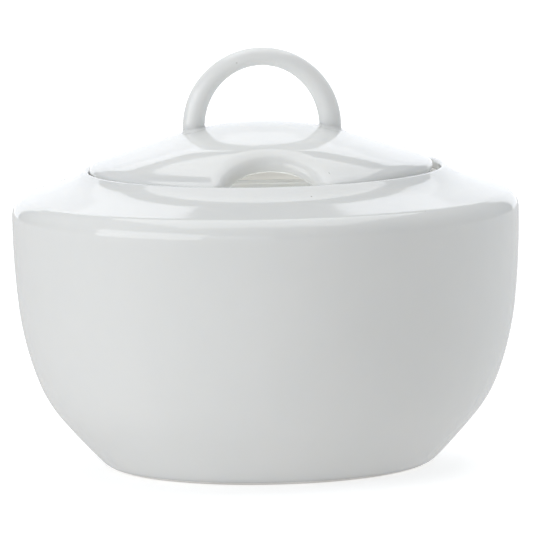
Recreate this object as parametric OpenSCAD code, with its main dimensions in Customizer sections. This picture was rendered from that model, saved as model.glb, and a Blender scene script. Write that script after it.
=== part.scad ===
// Porcelain sugar bowl with a loose lid.
// The lid drops inside a short neck and rests on a ledge there. It carries a loop handle and has a
// rounded notch at the front, which lets a spoon stand in the bowl with the lid on.
// Origin: centre of the foot, on the surface that the bowl stands on. +Z is up, the notch is at -Y.

/* [Bowl] */
// Widest diameter of the bowl, just under the shoulder
bowl_d = 115; // [109:1:125]
// Thickness of the wall and of the shoulder
wall_t = 3.6; // [3:0.1:4]
// Height of the bowl's inside floor above the table
floor_z = 6; // [5:0.5:8]
// Radius of the rounded edge where the wall turns into the shoulder
edge_r = 4.7; // [4.2:0.1:6]
// Slope of the shoulder above the horizontal, in degrees
shoulder_slope = 17.8; // [16:0.1:19]

/* [Foot] */
// Radius of the rounding under the wall, down to the table
foot_round = 6.2; // [5:0.1:7]
// Width of the flat ring that touches the table
foot_flat = 2.6; // [2:0.1:4]
// Height of the band that is left bare of glaze
bare_h = 0.9; // [0.6:0.1:1.2]
// Depth of the hollow under the bowl, inside the foot
recess_h = 2; // [1.5:0.1:2.5]

/* [Neck] */
// Inside diameter of the neck, where the lid drops in
neck_d = 79.8; // [79.8:0.1:81]
// Height of the lip's crest above the table
lip_z = 67.7; // [67:0.1:68.5]
// Radius of the rounded lip
lip_r = 0.85; // [0.7:0.05:1.3]
// Diameter of the opening below the ledge
throat_d = 72.6; // [72.2:0.1:73]

/* [Lid] */
// Diameter of the lid
lid_d = 77.9; // [77:0.1:77.9]
// Height of the lid's middle above the table
lid_top_z = 78.2; // [77.5:0.1:79]
// Slope of the lid's straight stretch above the horizontal, in degrees
lid_slope = 18.4; // [17:0.1:20]
// Radius of the domed middle of the lid
dome_r = 69.5; // [60:0.5:80]
// Thickness of the lid
lid_t = 4; // [3.6:0.1:4.2]
// Radius of the curve that eases the lid's slope down to its rounded edge
lid_ease_r = 7; // [5:0.5:9]
// Radius of the lid's rounded edge
lid_edge_r = 1.65; // [1.5:0.05:1.8]
// Sideways distance of the lid from the bowl's axis, within its play in the neck
lid_shift = -0.8; // [-0.8:0.05:0.8]
// Angle that the lid is turned from square, in degrees
lid_turn = 3.5; // [-180:0.5:180]

/* [Spoon notch] */
// Radius of the notch seen from above
notch_r = 11.2; // [9:0.1:12]
// Distance of the notch's inner wall from the lid's centre
notch_inner = 26.5; // [25:0.1:29]
// Width of the softened edge along the top of the notch
notch_soft = 1.8; // [0.5:0.1:2]

/* [Handle] */
// Width of the loop over its outside
loop_w = 36; // [32:0.5:38]
// Thickness of the loop's rod
rod_d = 4.4; // [4:0.1:5]
// Height of the loop's top above the table
loop_top_z = 95; // [92:0.5:97]
// Sideways distance of the loop from the lid's middle
loop_shift = 0.4; // [-1:0.1:1]
// Width of the slip bead around each root of the loop
bead_w = 0.9; // [0.5:0.1:1.2]

/* [Hidden] */
$fn = 96;

bowl_r = bowl_d / 2;
neck_r = neck_d / 2;
throat_r = throat_d / 2;
lid_r = lid_d / 2;
glaze_white = [0.94, 0.95, 0.94];
bare_white = [0.90, 0.87, 0.82];

// The wall is a chain of arcs that run down from the shoulder edge, each tangent to the next:
// radius, and the angle through which it turns. An arc of radius foot_round finishes it.
wall_arcs = [[191, 6], [70, 15], [30, 19], [150, 5]];
arc_steps = 8;

// Gap left around the loose seat ring, and the ring's height
ring_gap = 0.2;
ring_h = 1.5;
// Round under the throat, and the radius where the bowl's inside floor meets its wall
throat_round = 1;
floor_round = 14;
// Radius of the hollow curve between the shoulder and the neck
neck_curve = 10;
// Thickness of the ledge that carries the seat ring
ledge_t = 2.8;
// Slope at which the lid's easing curve passes into its rounded edge
ease_slope = 33.5;

// Points of an arc about centre c, from angle a0 to angle a1
function arc(c, r, a0, a1, steps = arc_steps) =
    [for (i = [0:steps]) let (a = a0 + (a1 - a0) * i / steps) c + r * [cos(a), sin(a)]];

// Angle below the horizontal at which wall arc i starts
function turn_to(i) = i == 0 ? 0 : turn_to(i - 1) + wall_arcs[i - 1][1];
wall_turn = turn_to(len(wall_arcs));

// Height that wall arc i drops through, and the height of the widest place that follows from it
function drop(i) = wall_arcs[i][0] * (sin(turn_to(i + 1)) - sin(turn_to(i)));
function drop_to(i) = i == 0 ? 0 : drop_to(i - 1) + drop(i - 1);
edge_z = drop_to(len(wall_arcs)) + foot_round * (1 - sin(wall_turn));

// Centre of wall arc i: it lies on the line through the point where two arcs meet
function wall_centre(i) = i == 0 ? [bowl_r - wall_arcs[0][0], edge_z] : wall_centre(i - 1)
    + (wall_arcs[i - 1][0] - wall_arcs[i][0]) * [cos(turn_to(i)), -sin(turn_to(i))];

last = len(wall_arcs) - 1;
foot_centre = wall_centre(last)
    + (wall_arcs[last][0] - foot_round) * [cos(wall_turn), -sin(wall_turn)];
foot_in_r = foot_centre[0] - foot_flat;
bare_angle = asin(1 - bare_h / foot_round);

// Wall from its top down to angle end, moved inwards by inset
function wall(inset, end) = [for (i = [0:last])
    each arc(wall_centre(i), wall_arcs[i][0] - inset, -turn_to(i), -min(turn_to(i + 1), end))];

// The curve that joins the inside floor to the last wall arc
floor_reach = wall_arcs[last][0] - wall_t - floor_round;
floor_angle = asin((wall_centre(last)[1] - floor_z - floor_round) / floor_reach);
floor_centre = wall_centre(last) + floor_reach * [cos(floor_angle), -sin(floor_angle)];

// Shoulder edge, shoulder line and neck
edge_centre = [bowl_r - edge_r, edge_z];
edge_end = edge_centre + edge_r * [sin(shoulder_slope), cos(shoulder_slope)];
lip_centre = [neck_r + lip_r, lip_z - lip_r];

// Hollow curve that touches the shoulder line and the lip: its centre lies neck_curve above the
// line, neck_slide along it from edge_end, and neck_curve + lip_r from the lip's centre
up_shoulder = [-cos(shoulder_slope), sin(shoulder_slope)];
from_lip = edge_end + neck_curve * [sin(shoulder_slope), cos(shoulder_slope)] - lip_centre;
neck_slide = -from_lip * up_shoulder
    - sqrt((from_lip * up_shoulder) ^ 2 - from_lip * from_lip + (neck_curve + lip_r) ^ 2);
neck_centre = lip_centre + from_lip + neck_slide * up_shoulder;
neck_steep = asin((neck_centre[0] - lip_centre[0]) / (neck_curve + lip_r));

// Lid: a dome, a straight slope, an easing curve and a rounded edge, each tangent to the next, and
// an underside parallel to the dome and the slope
dome_centre = [0, lid_top_z - dome_r];
dome_end_r = dome_r * sin(lid_slope);
under_r = dome_r - lid_t;
function lid_top_at(r) = r < dome_end_r ? dome_centre[1] + sqrt(dome_r ^ 2 - r ^ 2)
    : dome_centre[1] + dome_r * cos(lid_slope) - (r - dome_end_r) * tan(lid_slope);
function lid_slope_under_at(r) = lid_top_at(r) - lid_t / cos(lid_slope);
ease_start_r = lid_r - lid_edge_r * (1 - sin(ease_slope))
    - lid_ease_r * (sin(ease_slope) - sin(lid_slope));
ease_centre = [ease_start_r, lid_top_at(ease_start_r)]
    - lid_ease_r * [sin(lid_slope), cos(lid_slope)];
lid_edge_centre = ease_centre + (lid_ease_r - lid_edge_r) * [sin(ease_slope), cos(ease_slope)];
lid_rim_z = lid_edge_centre[1] - lid_edge_r;
rim_in_r = dome_end_r + (lid_slope_under_at(dome_end_r) - lid_rim_z) / tan(lid_slope);

// Heights inside the neck, from the seat ring down
seat_z = lid_rim_z - ring_gap;
ledge_z = seat_z - ring_h - ring_gap;
ledge_under_z = ledge_z - ledge_t;
// Radius at which the inside of the shoulder reaches the height of the ledge's underside
ledge_under_r = edge_end[0]
    + (edge_end[1] - wall_t / cos(shoulder_slope) - ledge_under_z) / tan(shoulder_slope);

// Locating ring under the lid
flange_r = 35;
flange_t = 2.8;
flange_h = 4.6;

// Handle: a ring set upright in the lid
ring_r = (loop_w - rod_d) / 2;
loop_centre_z = loop_top_z - loop_w / 2;
root_sink = 12;
// Slip bead: how far it climbs the rod, how far it reaches into the lid, and its tilt
bead_h = 1;
bead_sink = 1.5;
bead_tilt = asin(ring_r / dome_r);

// Puts the lid's pieces where the lid rests
module on_bowl() {
    translate([lid_shift, 0, 0]) rotate([0, 0, lid_turn]) children();
}

// Everything under the lid's top surface, for cutting what stands on it
module under_lid_top() {
    rotate_extrude() polygon([
        [0, 0],
        [lid_r, 0],
        [lid_r, lid_top_at(lid_r)],
        each arc(dome_centre, dome_r, 90 - lid_slope, 90)
    ]);
}

// Notch seen from above, as a cutter that runs right through the lid
module notch_cut(r) {
    translate([0, -notch_inner - notch_r, seat_z - 2 * flange_h]) cylinder(h = lid_top_z, r = r);
}

// Upper edge of the notch, sloped away square to the lid's surface
module notch_softening() {
    centre_r = notch_inner + notch_r;
    translate([0, -centre_r, lid_top_at(centre_r)]) rotate([lid_slope, 0, 0])
        translate([0, 0, -notch_soft])
            cylinder(h = 2 * notch_soft, r1 = notch_r, r2 = notch_r + 2 * notch_soft);
}

module bowl_body() {
    color(glaze_white) rotate_extrude() polygon([
        [0, recess_h],
        [foot_in_r, recess_h],
        [foot_in_r, bare_h],
        each arc(foot_centre, foot_round, -bare_angle, -wall_turn),
        each reverse(wall(0, wall_turn)),
        each arc(edge_centre, edge_r, 0, 90 - shoulder_slope),
        each arc(neck_centre, neck_curve, -90 - shoulder_slope, -90 - neck_steep),
        each arc(lip_centre, lip_r, 90 - neck_steep, 180),
        [neck_r, ledge_z],
        [throat_r, ledge_z],
        each arc([throat_r + throat_round, ledge_under_z + throat_round], throat_round, 180, 270),
        [ledge_under_r, ledge_under_z],
        each arc(edge_centre, edge_r - wall_t, 90 - shoulder_slope, 0),
        each wall(wall_t, floor_angle),
        each arc(floor_centre, floor_round, -floor_angle, -90),
        [0, floor_z]
    ]);
}

function reverse(list) = [for (i = [len(list) - 1:-1:0]) list[i]];

module foot_ring() {
    color(bare_white) rotate_extrude() polygon([
        [foot_in_r, 0],
        each arc(foot_centre, foot_round, -90, -bare_angle),
        [foot_in_r, bare_h]
    ]);
}

// Bare ring on the ledge that the lid rests on
module lid_seat() {
    color(bare_white) translate([0, 0, seat_z - ring_h]) difference() {
        cylinder(h = ring_h, r = neck_r - ring_gap);
        translate([0, 0, -1]) cylinder(h = ring_h + 2, r = throat_r);
    }
}

module lid_shell() {
    color(glaze_white) on_bowl() difference() {
        rotate_extrude() polygon([
            [0, dome_centre[1] + under_r],
            each arc(dome_centre, under_r, 90, 90 - lid_slope),
            [rim_in_r, lid_rim_z],
            each arc(lid_edge_centre, lid_edge_r, -90, 90 - ease_slope, 2 * arc_steps),
            each arc(ease_centre, lid_ease_r, 90 - ease_slope, 90 - lid_slope),
            each arc(dome_centre, dome_r, 90 - lid_slope, 90)
        ]);
        notch_cut(notch_r);
        notch_softening();
    }
}

// Ring under the lid that keeps it in the throat, open where the notch is
module lid_flange() {
    color(bare_white) on_bowl() difference() {
        rotate_extrude() polygon([
            [flange_r - flange_t, seat_z - flange_h],
            [flange_r, seat_z - flange_h],
            [flange_r, lid_slope_under_at(flange_r)],
            [flange_r - flange_t, lid_slope_under_at(flange_r - flange_t)]
        ]);
        notch_cut(notch_r + 1);
    }
}

// Upright ring, running down into the lid
module loop_rod() {
    translate([loop_shift, 0, loop_centre_z]) rotate([90, 0, 0]) rotate([0, 0, -root_sink])
        rotate_extrude(angle = 180 + 2 * root_sink) translate([ring_r, 0]) circle(d = rod_d);
}

module lid_handle() {
    color(glaze_white) on_bowl() difference() {
        loop_rod();
        under_lid_top();
    }
}

// Bead of slip around one root of the loop: side is -1 for the left root and 1 for the right one
module slip_bead(side) {
    color(glaze_white) on_bowl() difference() {
        translate([loop_shift + side * ring_r, 0, lid_top_at(ring_r)]) rotate([0, side * bead_tilt, 0])
            translate([0, 0, -bead_sink])
                cylinder(h = bead_sink + bead_h, r1 = rod_d / 2 + 2 * bead_w, r2 = rod_d / 2);
        loop_rod();
        under_lid_top();
    }
}

module handle_joint_left() {
    slip_bead(-1);
}

module handle_joint_right() {
    slip_bead(1);
}

bowl_body();
foot_ring();
lid_seat();
lid_shell();
lid_flange();
lid_handle();
handle_joint_left();
handle_joint_right();
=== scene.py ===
"""Looks of the porcelain sugar bowl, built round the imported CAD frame.

Lengths in the shape code are millimetres and become metres when a mesh is made. Every piece sits
where its CAD node is: the anchors below come from the nodes' boxes.
"""

import math

import bpy
import numpy as np
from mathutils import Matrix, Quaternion, Vector


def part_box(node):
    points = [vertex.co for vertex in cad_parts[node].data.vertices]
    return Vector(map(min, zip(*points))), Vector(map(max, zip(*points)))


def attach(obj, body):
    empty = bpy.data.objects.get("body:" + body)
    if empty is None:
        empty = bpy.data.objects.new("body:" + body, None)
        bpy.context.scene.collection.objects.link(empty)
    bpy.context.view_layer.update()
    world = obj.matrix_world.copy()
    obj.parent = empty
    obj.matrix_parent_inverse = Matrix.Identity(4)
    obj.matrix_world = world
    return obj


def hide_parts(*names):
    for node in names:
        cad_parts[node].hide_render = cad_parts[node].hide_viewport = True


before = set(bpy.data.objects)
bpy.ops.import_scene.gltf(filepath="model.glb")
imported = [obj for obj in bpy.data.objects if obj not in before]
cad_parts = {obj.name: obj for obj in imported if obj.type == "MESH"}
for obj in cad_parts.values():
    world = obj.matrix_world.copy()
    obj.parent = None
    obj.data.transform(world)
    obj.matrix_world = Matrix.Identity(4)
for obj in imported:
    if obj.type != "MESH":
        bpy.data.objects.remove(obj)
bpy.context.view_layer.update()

MM = 0.001
AROUND = 288
STEP = 1.3


def corner(node, top):
    """Highest or lowest corner of a CAD node, in millimetres."""
    return np.array(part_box(node)[1 if top else 0]) / MM


# ---------------------------------------------------------------- anchors from the CAD boxes
bowl_r = corner("bowl_body", True)[0]
lip_top = corner("bowl_body", True)[2]
RECESS_ROUND = 1.1
recess_z = corner("foot_ring", True)[2] + RECESS_ROUND
lid_lo, lid_hi = corner("lid_shell", False), corner("lid_shell", True)
lid_x = (lid_lo[0] + lid_hi[0]) / 2
lid_r = (lid_hi[0] - lid_lo[0]) / 2
lid_top = lid_hi[2]
lid_rim = lid_lo[2]
seat_lo, seat_hi = corner("lid_seat", False), corner("lid_seat", True)
flange_low = corner("lid_flange", False)[2]
loop_lo, loop_hi = corner("lid_handle", False), corner("lid_handle", True)
loop_x = (loop_lo[0] + loop_hi[0]) / 2
loop_top = loop_hi[2]
LID_TURN = math.radians(3.5)


# ---------------------------------------------------------------- small 2-D tools
def arc(centre, radius, start, end):
    """Points of an arc, angles in degrees, close enough together for a smooth highlight."""
    turn = abs(end - start)
    count = max(int(turn / 4) + 1, int(math.radians(turn) * radius / STEP) + 1, 3)
    angles = np.radians(np.linspace(start, end, count + 1))
    return [(centre[0] + radius * math.cos(a), centre[1] + radius * math.sin(a)) for a in angles]


def line(a, b):
    """Points along a straight stretch, closer together at its two ends."""
    length = math.dist(a, b)
    inner = np.linspace(0, 1, max(2, int(length / STEP) + 1))
    near = [0.12 / length, 0.5 / length] if length > 2 else []
    shares = sorted(set(inner) | set(near) | {1 - s for s in near})
    return [(a[0] + (b[0] - a[0]) * s, a[1] + (b[1] - a[1]) * s) for s in shares]


def chain(*runs):
    """Runs of points joined into one profile, without doubled points."""
    points = []
    for run in runs:
        for p in run:
            if not points or math.dist(p, points[-1]) > 0.004:
                points.append(p)
    return points


def add_mesh(name, points, faces, material, body, nodes, slot):
    """A smooth piece from points in millimetres, riding on a body and standing for CAD nodes."""
    mesh = bpy.data.meshes.new(name)
    mesh.from_pydata((np.asarray(points, float) * MM).tolist(), [], faces)
    mesh.polygons.foreach_set("use_smooth", [True] * len(mesh.polygons))
    mesh.update()
    mesh.materials.append(material)
    piece = bpy.data.objects.new(name, mesh)
    bpy.context.scene.collection.objects.link(piece)
    if body:
        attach(piece, body)
        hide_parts(*nodes)
    return piece


def lathe(profile, closed):
    """Points and faces of a profile of (radius, height) turned about Z. The profile runs outwards
    along the bottom and back along the top."""
    points, faces, rows = [], [], []
    for r, z in profile:
        if r < 1e-6:
            rows.append([len(points)])
            points.append((0.0, 0.0, z))
        else:
            rows.append(list(range(len(points), len(points) + AROUND)))
            for k in range(AROUND):
                a = 2 * math.pi * k / AROUND
                points.append((r * math.cos(a), r * math.sin(a), z))
    pairs = list(zip(rows, rows[1:] + rows[:1])) if closed else list(zip(rows, rows[1:]))
    for low, high in pairs:
        if len(low) == 1 and len(high) == 1:
            continue
        for k in range(AROUND):
            n = (k + 1) % AROUND
            if len(low) == 1:
                faces.append((low[0], high[n], high[k]))
            elif len(high) == 1:
                faces.append((low[k], low[n], high[0]))
            else:
                faces.append((low[k], low[n], high[n], high[k]))
    return points, faces


# ---------------------------------------------------------------- materials
def porcelain(name, depth):
    """White glazed porcelain: faint cloudiness, rare iron specks and a slightly wavy, glossy skin.
    Depth is the share of light that goes into it and comes out elsewhere."""
    material = bpy.data.materials.new(name)
    material.use_nodes = True
    nodes, links = material.node_tree.nodes, material.node_tree.links
    shader = nodes["Principled BSDF"]
    shader.inputs["IOR"].default_value = 1.52
    shader.inputs["Subsurface Weight"].default_value = depth
    shader.inputs["Subsurface Radius"].default_value = (0.0070, 0.0066, 0.0060)
    shader.inputs["Subsurface Scale"].default_value = 1.0
    place = nodes.new("ShaderNodeTexCoord")

    def noise(scale, detail):
        n = nodes.new("ShaderNodeTexNoise")
        n.inputs["Scale"].default_value = scale
        n.inputs["Detail"].default_value = detail
        links.new(place.outputs["Object"], n.inputs["Vector"])
        return n

    def ramp(source, stops):
        r = nodes.new("ShaderNodeValToRGB")
        links.new(source, r.inputs["Fac"])
        for e, (position, colour) in zip(r.color_ramp.elements, stops):
            e.position, e.color = position, (*colour, 1)
        return r

    cloud = ramp(noise(38, 3).outputs["Fac"],
                 [(0.3, (0.806, 0.818, 0.812)), (0.7, (0.830, 0.838, 0.830))])
    specks = nodes.new("ShaderNodeTexVoronoi")
    specks.inputs["Scale"].default_value = 150
    links.new(place.outputs["Object"], specks.inputs["Vector"])
    rare = ramp(noise(61, 1).outputs["Fac"], [(0.60, (0, 0, 0)), (0.66, (1, 1, 1))])
    dot = ramp(specks.outputs["Distance"], [(0.020, (1, 1, 1)), (0.040, (0, 0, 0))])
    both = nodes.new("ShaderNodeMath")
    both.operation = "MULTIPLY"
    links.new(rare.outputs["Color"], both.inputs[0])
    links.new(dot.outputs["Color"], both.inputs[1])
    tint = nodes.new("ShaderNodeMix")
    tint.data_type = "RGBA"
    tint.inputs["B"].default_value = (0.42, 0.40, 0.37, 1)
    links.new(both.outputs["Value"], tint.inputs["Factor"])
    links.new(cloud.outputs["Color"], tint.inputs["A"])
    links.new(tint.outputs["Result"], shader.inputs["Base Color"])

    gloss = nodes.new("ShaderNodeMapRange")
    gloss.inputs["To Min"].default_value = 0.045
    gloss.inputs["To Max"].default_value = 0.085
    links.new(noise(90, 4).outputs["Fac"], gloss.inputs["Value"])
    links.new(gloss.outputs["Result"], shader.inputs["Roughness"])

    wave = nodes.new("ShaderNodeBump")
    wave.inputs["Strength"].default_value = 0.5
    wave.inputs["Distance"].default_value = 0.00004
    links.new(noise(75, 2).outputs["Fac"], wave.inputs["Height"])
    links.new(wave.outputs["Normal"], shader.inputs["Normal"])
    return material


def bare_clay():
    """Unglazed fired porcelain: dry, very slightly warm, with a fine sandy grain."""
    material = bpy.data.materials.new("bare_porcelain")
    material.use_nodes = True
    nodes, links = material.node_tree.nodes, material.node_tree.links
    shader = nodes["Principled BSDF"]
    shader.inputs["Specular IOR Level"].default_value = 0.25
    place = nodes.new("ShaderNodeTexCoord")
    grain = nodes.new("ShaderNodeTexNoise")
    grain.inputs["Scale"].default_value = 900
    grain.inputs["Detail"].default_value = 6
    wear = nodes.new("ShaderNodeTexNoise")
    wear.inputs["Scale"].default_value = 60
    for n in (grain, wear):
        links.new(place.outputs["Object"], n.inputs["Vector"])
    colour = nodes.new("ShaderNodeValToRGB")
    low, high = colour.color_ramp.elements
    low.position, low.color = 0.32, (0.77, 0.755, 0.725, 1)
    high.position, high.color = 0.68, (0.86, 0.85, 0.825, 1)
    links.new(wear.outputs["Fac"], colour.inputs["Fac"])
    links.new(colour.outputs["Color"], shader.inputs["Base Color"])
    dry = nodes.new("ShaderNodeMapRange")
    dry.inputs["To Min"].default_value = 0.62
    dry.inputs["To Max"].default_value = 0.88
    links.new(grain.outputs["Fac"], dry.inputs["Value"])
    links.new(dry.outputs["Result"], shader.inputs["Roughness"])
    bump = nodes.new("ShaderNodeBump")
    bump.inputs["Strength"].default_value = 0.6
    bump.inputs["Distance"].default_value = 0.00006
    links.new(grain.outputs["Fac"], bump.inputs["Height"])
    links.new(bump.outputs["Normal"], shader.inputs["Normal"])
    return material


def paper(name, shade, glow):
    """Pale matte paper of a given shade. A little light comes through it, as on a light table."""
    material = bpy.data.materials.new(name)
    material.use_nodes = True
    nodes, links = material.node_tree.nodes, material.node_tree.links
    shader = nodes["Principled BSDF"]
    shader.inputs["Roughness"].default_value = 0.9
    shader.inputs["Specular IOR Level"].default_value = 0.1
    shader.inputs["Emission Color"].default_value = (1, 1, 1, 1)
    shader.inputs["Emission Strength"].default_value = glow
    tone = nodes.new("ShaderNodeTexNoise")
    tone.inputs["Scale"].default_value = 30
    ramp = nodes.new("ShaderNodeValToRGB")
    low, high = ramp.color_ramp.elements
    low.color, high.color = [(*[shade + d] * 3, 1) for d in (-0.01, 0.01)]
    links.new(tone.outputs["Fac"], ramp.inputs["Fac"])
    links.new(ramp.outputs["Color"], shader.inputs["Base Color"])
    return material


glaze = porcelain("porcelain_glaze", 0.5)
thin_glaze = porcelain("slip_glaze", 0.0)
clay = bare_clay()

# ---------------------------------------------------------------- bowl
# The wall is a chain of arcs (radius, turn in degrees), each tangent to the next, that runs down
# from the widest place to the foot.
WALL = [(191, 6), (70, 15), (30, 19), (150, 5)]
WALL_T = 3.6
FOOT_R, FOOT_FLAT, BARE_H = 6.2, 2.6, 0.9
EDGE_R, SHOULDER = 4.7, 17.8
LIP_R, NECK_CURVE = 0.85, 24.0
FLOOR_Z, FLOOR_R = 6.0, 14.0
THROAT_R, NECK_R = 36.3, 39.9
# Small rounded corners: the neck's foot, the throat's upper and lower edge, the seat, and how far
# the recess under the foot is rounded in from the foot ring
NECK_ROUND, THROAT_ROUND, UNDER_ROUND, SEAT_ROUND, RECESS_STEP = 0.35, 0.8, 1, 0.3, 1.2

turns = [0]
for radius, turn in WALL:
    turns.append(turns[-1] + turn)
edge_z = FOOT_R * (1 - math.sin(math.radians(turns[-1]))) + sum(
    radius * (math.sin(math.radians(b)) - math.sin(math.radians(a)))
    for (radius, _), a, b in zip(WALL, turns, turns[1:]))


def away(distance, angle):
    """A step of a distance along an angle in degrees below the horizontal."""
    a = math.radians(angle)
    return np.array([distance * math.cos(a), -distance * math.sin(a)])


wall_centres = [np.array([bowl_r - WALL[0][0], edge_z])]
for (r0, _), (r1, _), a in zip(WALL, WALL[1:], turns[1:]):
    wall_centres.append(wall_centres[-1] + away(r0 - r1, a))
foot_centre = wall_centres[-1] + away(WALL[-1][0] - FOOT_R, turns[-1])
foot_in = foot_centre[0] - FOOT_FLAT
bare_angle = math.degrees(math.asin(1 - BARE_H / FOOT_R))


def wall(inset, end):
    """Wall from its top down to an angle, moved inwards."""
    points = []
    for centre, (radius, _), a, b in zip(wall_centres, WALL, turns, turns[1:]):
        points += arc(centre, radius - inset, -a, -min(b, end))
    return points


reach = WALL[-1][0] - WALL_T - FLOOR_R
floor_angle = math.degrees(math.asin((wall_centres[-1][1] - FLOOR_Z - FLOOR_R) / reach))
floor_centre = wall_centres[-1] + away(reach, floor_angle)

edge_centre = np.array([bowl_r - EDGE_R, edge_z])
slope = math.radians(SHOULDER)
up_slope = np.array([-math.cos(slope), math.sin(slope)])
off_slope = np.array([math.sin(slope), math.cos(slope)])
edge_end = edge_centre + EDGE_R * off_slope
lip_centre = np.array([NECK_R + LIP_R, lip_top - LIP_R])
from_lip = edge_end + NECK_CURVE * off_slope - lip_centre
along = from_lip @ up_slope
slide = -along - math.sqrt(along ** 2 - from_lip @ from_lip + (NECK_CURVE + LIP_R) ** 2)
neck_centre = lip_centre + from_lip + slide * up_slope
steep = math.degrees(math.asin((neck_centre[0] - lip_centre[0]) / (NECK_CURVE + LIP_R)))
shoulder_end = neck_centre - NECK_CURVE * off_slope

ledge_z = seat_lo[2] - 0.2
under_z = ledge_z - 2.8
under_r = edge_end[0] + (edge_end[1] - WALL_T / math.cos(slope) - under_z) / math.tan(slope)

bowl_profile = chain(
    line((0, recess_z), (foot_in - RECESS_STEP, recess_z)),
    arc((foot_in - RECESS_STEP, recess_z - RECESS_ROUND), RECESS_ROUND, 90, 0)[1:],
    arc(foot_centre, FOOT_R, -bare_angle, -turns[-1]),
    wall(0, turns[-1])[::-1],
    arc(edge_centre, EDGE_R, 0, 90 - SHOULDER),
    line(edge_end, shoulder_end),
    arc(neck_centre, NECK_CURVE, -90 - SHOULDER, -90 - steep),
    arc(lip_centre, LIP_R, 90 - steep, 180),
    line((NECK_R, lip_centre[1]), (NECK_R, ledge_z + NECK_ROUND)),
    arc((NECK_R - NECK_ROUND, ledge_z + NECK_ROUND), NECK_ROUND, 0, -90),
    arc((THROAT_R + THROAT_ROUND, ledge_z - THROAT_ROUND), THROAT_ROUND, 90, 180),
    arc((THROAT_R + UNDER_ROUND, under_z + UNDER_ROUND), UNDER_ROUND, 180, 270),
    line((THROAT_R + UNDER_ROUND, under_z), (under_r, under_z)),
    arc(edge_centre, EDGE_R - WALL_T, 90 - SHOULDER, 0),
    wall(WALL_T, floor_angle),
    arc(floor_centre, FLOOR_R, -floor_angle, -90),
    line((floor_centre[0], FLOOR_Z), (0, FLOOR_Z)),
)
add_mesh("bowl", *lathe(bowl_profile, False), glaze, "bowl", ["bowl_body"], "glaze")

foot_profile = chain(
    arc((foot_in + 0.35, 0.35), 0.35, 180, 270),
    arc(foot_centre, FOOT_R, -90, -bare_angle),
    [(foot_in + 0.2, BARE_H), (foot_in, BARE_H - 0.2)],
)
add_mesh("foot", *lathe(foot_profile, True), clay, "bowl", ["foot_ring"], "bare_clay")

seat_in, seat_out = THROAT_R + SEAT_ROUND, seat_hi[0] - SEAT_ROUND
seat_low, seat_high = seat_lo[2] + SEAT_ROUND, seat_hi[2] - SEAT_ROUND
seat_profile = chain(
    arc((seat_in, seat_low), SEAT_ROUND, 180, 270),
    arc((seat_out, seat_low), SEAT_ROUND, 270, 360),
    arc((seat_out, seat_high), SEAT_ROUND, 0, 90),
    arc((seat_in, seat_high), SEAT_ROUND, 90, 180),
)
add_mesh("seat", *lathe(seat_profile, True), clay, "seat_ring", ["lid_seat"], "bare_clay")

# ---------------------------------------------------------------- lid
LID_SLOPE, DOME_R, LID_T = 18.4, 69.5, 4.0
EASE_R, EASE_SLOPE, NOSE_R = 7.0, 33.5, 1.65
NOTCH_R, NOTCH_IN, NOTCH_CORNER = 11.2, 26.5, 3.6
# Roundings of the notch's upper and lower edge, the largest share of the wall's thickness that
# each may take, and how softly the underside levels out at the rim
ROLL_R, LOWER_R, ROLL_SHARE, LOWER_SHARE, UNDER_SOFT = 3.2, 1.1, 0.6, 0.45, 0.6
# The shallow hollow pressed into the lid's front, which leads to the notch. It begins along a
# nearly straight line across the lid: how far in front of the axis, how much the line leans and
# curves, how fast the surface bends away, its extra slope in front and at the sides, its depth.
# The lid swells up a little behind it.
DISH_START, DISH_LEAN, DISH_CURVE = 23.5, 0.096, 0.008
DISH_BEND, DISH_SLOPE, DISH_SIDE, DISH_DEPTH = 0.036, 0.23, 0.30, 1.3
SWELL_START, SWELL_SLOPE, SWELL_REACH, SWELL_EASE = 16.0, 0.07, 10, 1.5
# Angles off the front in degrees: where a change begins, and how far it takes
TO_SIDE, SWELL_FADE, DISH_FADE = (30, 40), (42, 38), (66, 18)

lid_tan = math.tan(math.radians(LID_SLOPE))
lid_drop = LID_T / math.cos(math.radians(LID_SLOPE))
dome_end = DOME_R * math.sin(math.radians(LID_SLOPE))
dome_z = lid_top - DOME_R
cone_0 = dome_z + DOME_R * math.cos(math.radians(LID_SLOPE)) + dome_end * lid_tan
ease_start = lid_r - NOSE_R * (1 - math.sin(math.radians(EASE_SLOPE))) \
    - EASE_R * (math.sin(math.radians(EASE_SLOPE)) - math.sin(math.radians(LID_SLOPE)))
ease_centre = np.array([ease_start - EASE_R * math.sin(math.radians(LID_SLOPE)),
                        cone_0 - ease_start * lid_tan - EASE_R * math.cos(math.radians(LID_SLOPE))])
nose_centre = ease_centre + (EASE_R - NOSE_R) * np.array(
    [math.sin(math.radians(EASE_SLOPE)), math.cos(math.radians(EASE_SLOPE))])
nose_start = nose_centre[0] + NOSE_R * math.sin(math.radians(EASE_SLOPE))


def smooth(x):
    """0 below 0, 1 above 1, and a soft step between."""
    x = np.clip(x, 0, 1)
    return x * x * (3 - 2 * x)


def dish(x, y):
    """Depth of the hollow. It is negative where the lid swells up."""
    r = np.hypot(x, y)
    off = np.degrees(np.arctan2(np.abs(x), -y))
    t = np.maximum(-y - DISH_START - DISH_LEAN * x + DISH_CURVE * x * x, 0)
    to_side, swell_fade, dish_fade = [smooth((off - begin) / length)
                                      for begin, length in (TO_SIDE, SWELL_FADE, DISH_FADE)]
    steep = DISH_SLOPE + (DISH_SIDE - DISH_SLOPE) * to_side
    bend = steep / DISH_BEND
    hollow = np.where(t < bend, DISH_BEND * t * t / 2, steep * (t - bend / 2))
    rise = np.clip(r - SWELL_START, 0, SWELL_REACH)
    swell = SWELL_SLOPE * rise * rise / (rise + SWELL_EASE) * (1 - swell_fade)
    net = hollow * (1 - dish_fade) - swell
    # the hollow levels out softly at its full depth
    return np.where(net > 0, net / (1 + (np.maximum(net, 0) / DISH_DEPTH) ** 4) ** 0.25, net)


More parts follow.
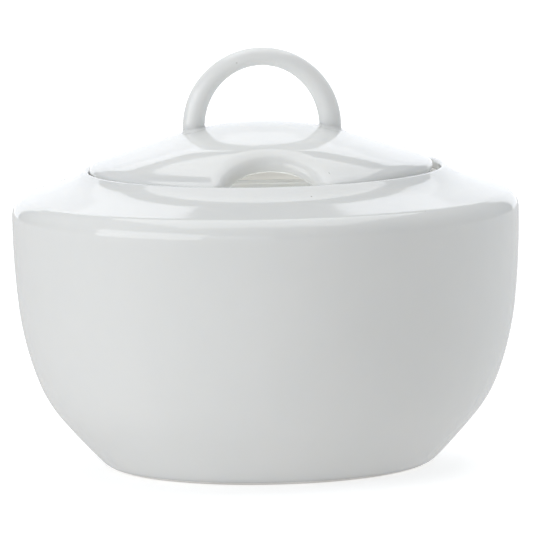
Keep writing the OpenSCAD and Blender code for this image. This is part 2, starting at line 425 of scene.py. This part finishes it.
def cone(r):
    """Height of the lid's dome and slope, without its rounded edge."""
    dome = dome_z + np.sqrt(np.maximum(DOME_R ** 2 - r * r, 0))
    return np.where(r < dome_end, dome, cone_0 - r * lid_tan)


def edge_drop(r):
    """How far the lid's rounded outer edge lies below the slope."""
    ease = ease_centre[1] + np.sqrt(np.maximum(EASE_R ** 2 - (r - ease_centre[0]) ** 2, 0))
    nose = nose_centre[1] + np.sqrt(np.maximum(NOSE_R ** 2 - (r - nose_centre[0]) ** 2, 0))
    top = np.where(r > nose_start, nose, ease)
    return np.where(r > ease_start, cone_0 - r * lid_tan - top, 0)


def lid_outline():
    """Lid seen from above: points, inward normals and how far each belongs to the notch (0 to 1).
    It goes round the edge, over the left corner of the notch, round the notch and back."""
    notch = np.array([0, -NOTCH_IN - NOTCH_R])
    reach_a, reach_b = lid_r - NOTCH_CORNER, NOTCH_R + NOTCH_CORNER
    y = (reach_a ** 2 - reach_b ** 2 + notch[1] ** 2) / (2 * notch[1])
    x = math.sqrt(reach_a ** 2 - y * y)
    fillet = np.array([x, y])
    a_out = math.atan2(y, x)
    to_notch = (notch - fillet) / reach_b
    a_in = math.atan2(to_notch[1], to_notch[0])
    if a_in > a_out:
        a_in -= 2 * math.pi
    points, normals, shares = [], [], []

    def add(centre, radius, angles, sign, share):
        for a, w in zip(angles, share):
            d = np.array([math.cos(a), math.sin(a)])
            points.append(centre + radius * d)
            normals.append(-sign * d)
            shares.append(w)

    n_out, n_fillet, n_notch = 260, 26, 130
    whole = np.linspace(a_out, math.pi - a_out, n_out + 1)[:-1]
    add(np.zeros(2), lid_r, whole, 1, np.zeros(n_out))
    mirrored = np.linspace(math.pi - a_out, math.pi - a_in, n_fillet + 1)[:-1]
    add(fillet * [-1, 1], NOTCH_CORNER, mirrored, 1, smooth(np.linspace(0, 1, n_fillet + 1)[:-1]))
    notch_end = math.atan2(-to_notch[1], -to_notch[0])
    inner = np.linspace(math.pi - notch_end, notch_end, n_notch + 1)[:-1]
    add(notch, NOTCH_R, inner, -1, np.ones(n_notch))
    back = np.linspace(a_in, a_out, n_fillet + 1)[:-1]
    add(fillet, NOTCH_CORNER, back, 1, smooth(np.linspace(1, 0, n_fillet + 1)[:-1]))
    return np.array(points), np.array(normals), np.array(shares)


def lid_mesh():
    """Points and faces of the lid's shell, in the lid's own place (not yet shifted or turned)."""
    outline, inward, share = lid_outline()
    count = len(outline)
    steps = np.array([0, 0.004, 0.016, 0.036, 0.065, 0.10, 0.145, 0.20, 0.26, 0.33, 0.41, 0.50,
                      0.61, 0.74, 0.87, 1.0])
    ring_d = ROLL_R * steps
    edge_pts = outline + inward * ROLL_R

    # Where the mesh line of each outline point ends on an inner circle: between the point's own
    # angle and an even spread by length
    angle = np.unwrap(np.arctan2(edge_pts[:, 1], edge_pts[:, 0]))
    step = np.maximum(np.linalg.norm(np.roll(edge_pts, -1, 0) - edge_pts, axis=1), 0.02)
    even = np.concatenate([[0], np.cumsum(step)[:-1]]) / step.sum() * 2 * math.pi
    even += angle[0]
    inner_angle = 0.45 * angle + 0.55 * even
    inner_r = 19.0
    inner = np.stack([inner_r * np.cos(inner_angle), inner_r * np.sin(inner_angle)], 1)

    rows = [outline + inward * d for d in ring_d]
    for s in np.linspace(0, 1, 20)[1:]:
        rows.append(edge_pts + (inner - edge_pts) * s)
    for r in np.linspace(inner_r, 0, 16)[1:-1]:
        rows.append(inner * (r / inner_r))

    def top_z(p, d):
        r = np.hypot(p[:, 0], p[:, 1])
        base = cone(r) - dish(p[:, 0], p[:, 1])
        near = np.clip(1 - d / ROLL_R, 0, 1)
        thick = np.minimum(ROLL_R, ROLL_SHARE * (base - np.maximum(base - lid_drop, lid_rim)))
        roll = thick * (1 - np.sqrt(1 - near ** 2))
        outer = edge_drop(np.minimum(lid_r - d, r))
        return base - (1 - share) * outer - share * roll

    def under_z_at(p):
        r = np.hypot(p[:, 0], p[:, 1])
        low = cone(r) - lid_drop - dish(p[:, 0], p[:, 1])
        gap = low - lid_rim
        return lid_rim + (gap + np.sqrt(gap * gap + UNDER_SOFT)) / 2

    points, layers = [], []

    def layer(p, z):
        layers.append(list(range(len(points), len(points) + count)))
        points.extend(np.column_stack([p, z]).tolist())

    # upper skin from the centre outwards, then round the edge and back in along the underside
    far_in = ROLL_R + 10
    heights = [top_z(p, ring_d[k] if k < len(ring_d) else far_in) for k, p in enumerate(rows)]
    for p, z in list(zip(rows, heights))[::-1]:
        layer(p, z)
    edge_z_top = heights[0]
    low_z = under_z_at(outline)
    room = edge_z_top - low_z
    lower = np.minimum(LOWER_R, LOWER_SHARE * room)
    for a in np.radians([8, 18, 30, 42, 54, 66, 78, 90]):
        outer_p = (1 - math.cos(a)) * NOSE_R
        outer_z = edge_z_top - (edge_z_top - lid_rim) * math.sin(a)
        inner_p = (1 - math.cos(a)) * lower
        inner_z = low_z + lower * (1 - math.sin(a))
        off = (1 - share) * outer_p + share * inner_p
        layer(outline + inward * off[:, None], (1 - share) * outer_z + share * inner_z)
    under = [edge_pts + (inner - edge_pts) * s for s in np.linspace(0, 1, 14)]
    under += [inner * s for s in np.linspace(1, 0, 8)[1:-1]]
    for p in under:
        layer(p, under_z_at(p))

    faces = []
    for low, high in zip(layers, layers[1:]):
        for k in range(count):
            n = (k + 1) % count
            faces.append((low[k], high[k], high[n], low[n]))
    top, bottom = len(points), len(points) + 1
    centre_z = float(cone(np.array(0.0)))
    points += [[0, 0, centre_z], [0, 0, centre_z - LID_T]]
    first, final = layers[0], layers[-1]
    for k in range(count):
        n = (k + 1) % count
        faces.append((top, first[k], first[n]))
        faces.append((bottom, final[n], final[k]))
    return points, faces


def on_lid(points):
    """Turns and shifts points as the lid lies in the neck."""
    p = np.array(points, float)
    c, s = math.cos(LID_TURN), math.sin(LID_TURN)
    x = p[:, 0] * c - p[:, 1] * s + lid_x
    y = p[:, 0] * s + p[:, 1] * c
    return np.column_stack([x, y, p[:, 2]])


lid_points, lid_faces = lid_mesh()
add_mesh("lid", on_lid(lid_points), lid_faces, glaze, "lid", ["lid_shell"], "glaze")

# ---------------------------------------------------------------- flange under the lid
FLANGE_R, FLANGE_T, FLANGE_ROUND = 35.0, 2.8, 0.9


def flange_mesh():
    """Open ring with rounded ends, cut away where the notch is."""
    half = math.asin((NOTCH_R + 1.2) / (FLANGE_R - FLANGE_T / 2)) + 0.02
    start, stop = -math.pi / 2 + half, 1.5 * math.pi - half
    flange_in = FLANGE_R - FLANGE_T
    section = np.array(chain(
        arc((flange_in + FLANGE_ROUND, flange_low + FLANGE_ROUND), FLANGE_ROUND, 180, 270),
        arc((FLANGE_R - FLANGE_ROUND, flange_low + FLANGE_ROUND), FLANGE_ROUND, 270, 360),
        [(FLANGE_R, lid_rim), (FLANGE_R, lid_rim + 0.4)],
        [(flange_in, lid_rim + 1.2), (flange_in, lid_rim)],
    ))
    middle = section.mean(0)
    points, faces, size = [], [], len(section)
    cap = (0.0, 0.4, 0.75, 0.95)
    stations = [(start, grow) for grow in cap]
    stations += [(a, 1.0) for a in np.linspace(start + 0.012, stop - 0.012, 220)]
    stations += [(stop, grow) for grow in cap[::-1]]
    for a, grow in stations:
        for r, z in section:
            rr = middle[0] + (r - middle[0]) * grow
            zz = middle[1] + (z - middle[1]) * grow if grow < 1 else z
            points.append((rr * math.cos(a), rr * math.sin(a), zz))
    for k in range(len(stations) - 1):
        for j in range(size):
            m = (j + 1) % size
            faces.append((k * size + j, (k + 1) * size + j, (k + 1) * size + m, k * size + m))
    return points, faces


flange_points, flange_faces = flange_mesh()
add_mesh("flange", on_lid(flange_points), flange_faces, clay, "lid", ["lid_flange"], "bare_clay")

# ---------------------------------------------------------------- handle
# The arch lies between an outer circle and an inner ellipse. Then half of the rod's depth at the
# top, how much it gains at the roots, and how many degrees the roots run on below the arch.
LOOP_R, LOOP_IN, LOOP_IN_HIGH = 18.0, 13.0, 13.95
ROD_DEPTH, ROOT_DEPTH, ROOT_TURN = 2.1, 0.25, 13
loop_mid_z = loop_top - LOOP_R
loop_dx = (loop_x - lid_x) / math.cos(LID_TURN)


def lid_height(x, y):
    """Height of the lid's dome and slope at one point."""
    return float(cone(np.array(math.hypot(x, y))))


def handle_mesh():
    """The loop: a rod bent to an arch, a little deeper towards its two roots, which run straight
    down into the lid."""
    points, faces = [], []
    ring = 40
    angles = np.concatenate([np.linspace(-ROOT_TURN, 0, 9)[:-1], np.linspace(0, 180, 111),
                             np.linspace(180, 180 + ROOT_TURN, 9)[1:]])
    for deg in angles:
        a = math.radians(deg)
        across = math.cos(a) if 0 <= deg <= 180 else math.copysign(1, 90 - deg)
        outer = np.array([LOOP_R * across, LOOP_R * math.sin(a)])
        inner = np.array([LOOP_IN * across, LOOP_IN_HIGH * math.sin(a)])
        x, z = (outer + inner) / 2
        out = (outer - inner) / 2
        half_t = np.linalg.norm(out)
        out = out / half_t
        half_depth = ROD_DEPTH + ROOT_DEPTH * (1 - max(math.sin(a), 0))
        for j in range(ring):
            b = 2 * math.pi * j / ring
            px = x + out[0] * half_t * math.cos(b)
            pz = z + out[1] * half_t * math.cos(b)
            points.append((px + loop_dx, half_depth * math.sin(b), pz + loop_mid_z))
    for k in range(len(angles) - 1):
        for j in range(ring):
            m = (j + 1) % ring
            faces.append((k * ring + j, k * ring + m, (k + 1) * ring + m, (k + 1) * ring + j))
    faces.append(tuple(range(ring))[::-1])
    faces.append(tuple((len(angles) - 1) * ring + j for j in range(ring)))
    return points, faces


handle_points, handle_faces = handle_mesh()
add_mesh("handle", on_lid(handle_points), handle_faces, glaze, "lid", ["lid_handle"], "glaze")

# Where a root of the loop stands, half of its width and depth, and how wide the slip is round it
ROOT_X, ROOT_HALF_X, ROOT_HALF_Y = (LOOP_R + LOOP_IN) / 2, (LOOP_R - LOOP_IN) / 2, 2.32
SLIP = 0.75


def slip_mesh(side):
    """Slip wiped into the corner between one root of the loop and the lid, a little uneven."""
    points, faces = [], []
    around = 96
    waves = np.random.default_rng(5 + side).uniform(0, 2 * math.pi, 3)
    for k in range(around):
        a = 2 * math.pi * k / around
        size = SLIP * (1 + 0.14 * math.sin(2 * a + waves[0]) + 0.09 * math.sin(5 * a + waves[1])
                       + 0.05 * math.sin(11 * a + waves[2]))
        section = [(-0.5, size), (-0.06, size * 1.1)]
        section += [(size * (1 - math.sin(b)), size * (1 - math.cos(b)))
                    for b in np.radians(np.linspace(90, 0, 11))]
        section += [(size + 0.1, -0.06), (size * 0.5, -0.4), (-0.5, -0.4)]
        for d, z in section:
            x = side * ROOT_X + (ROOT_HALF_X + d) * math.cos(a) + loop_dx
            y = (ROOT_HALF_Y + d) * math.sin(a)
            points.append((x, y, lid_height(x, y) + z))
    across = len(section)
    for k in range(around):
        n = (k + 1) % around
        for j in range(across):
            m = (j + 1) % across
            faces.append((k * across + j, n * across + j, n * across + m, k * across + m))
    return points, faces


for side, name, node in ((-1, "slip_left", "handle_joint_left"),
                         (1, "slip_right", "handle_joint_right")):
    slip_points, slip_faces = slip_mesh(side)
    add_mesh(name, on_lid(slip_points), slip_faces, thin_glaze, "lid", [node], "glaze")

# ---------------------------------------------------------------- floor, lights, camera
FLOOR_WIDE = 4500


def disc(name, z, material):
    """A wide flat disc of the studio, which isn't part of the object."""
    rim = [2 * math.pi * k / 96 for k in range(96)]
    points = [(FLOOR_WIDE * math.cos(a), FLOOR_WIDE * math.sin(a), z) for a in rim]
    made = add_mesh(name, points, [tuple(range(len(rim)))], material, None, [], None)
    return made


# The camera sees the bright paper. The object is lit from below by a greyer table, which the
# camera doesn't see.
floor = disc("floor", 0, paper("paper", 0.90, 0.45))
table = disc("table", -0.2, paper("table_top", 0.22, 0.49))
floor.visible_diffuse = floor.visible_glossy = floor.visible_transmission = False
floor.visible_shadow = False
table.visible_camera = False

scene = bpy.context.scene
scene.view_settings.view_transform = "Standard"
world = bpy.data.worlds.new("studio_air")
world.use_nodes = True
world.node_tree.nodes["Background"].inputs["Color"].default_value = (0.95, 0.975, 1, 1)
world.node_tree.nodes["Background"].inputs["Strength"].default_value = 0.30
scene.world = world


def softbox(name, place, aim, width, height, glow, tint=(1, 1, 1)):
    """A rectangular light whose face shines with the brightness glow, where 1 is paper white."""
    data = bpy.data.lights.new(name, "AREA")
    data.shape = "RECTANGLE"
    data.size, data.size_y = width, height
    data.energy = glow * math.pi * width * height
    data.color = tint
    light = bpy.data.objects.new(name, data)
    scene.collection.objects.link(light)
    light.location = place
    away_from = np.array(aim, float) - np.array(place, float)
    light.rotation_euler = Vector(away_from).to_track_quat("-Z", "Y").to_euler()
    light.visible_camera = False
    return light


softbox("sweep_low", (0, 1.6, 0.45), (0, 0, 0.45), 1.8, 0.9, 1.0, (0.93, 0.95, 1.0))
softbox("sweep_high", (0, 1.6, 1.17), (0, 0, 1.17), 1.4, 0.54, 1.35, (0.93, 0.95, 1.0))
softbox("overhead", (0, 0.25, 1.5), (0, 0.25, 0), 1.5, 1.7, 1.48, (0.995, 1.0, 1.0))
softbox("key_left", (-1.5, -1.05, 0.45), (0, 0, 0.05), 1.9, 1.1, 2.3, (0.98, 0.99, 1.0))
fill_right = softbox("fill_right", (1.5, 0.9, 0.35), (0, 0, 0.05), 1.1, 0.8, 3.4,
                     (0.90, 0.95, 1.0))
# It would show as a bright patch on the right edge of the shoulder.
fill_right.visible_glossy = False
softbox("fill_front", (-0.5, -2.3, 0.45), (0, 0, 0.05), 1.2, 0.9, 0.9)

# Stands in for the light that comes through the thin porcelain and fills the inside of the bowl.
data = bpy.data.lights.new("inside_glow", "POINT")
data.energy = 0.021
data.shadow_soft_size = 0.012
data.color = (1.0, 0.995, 0.975)
inside = bpy.data.objects.new("inside_glow", data)
scene.collection.objects.link(inside)
inside.location = (0, 0, 0.035)
inside.visible_camera = False

ELEVATION, DISTANCE, ROLL = math.radians(7.0), 1.95, math.radians(-1.1)
data = bpy.data.cameras.new("camera")
data.sensor_width = 36
data.lens = 580
data.clip_start, data.clip_end = 0.05, 50
camera = bpy.data.objects.new("camera", data)
scene.collection.objects.link(camera)
aim = (0, 0, 0.045)
camera.location = (aim[0], aim[1] - DISTANCE * math.cos(ELEVATION),
                   aim[2] + DISTANCE * math.sin(ELEVATION))
view = Vector(aim) - camera.location
camera.rotation_euler = (view.to_track_quat("-Z", "Y") @ Quaternion((0, 0, 1), ROLL)).to_euler()
scene.camera = camera
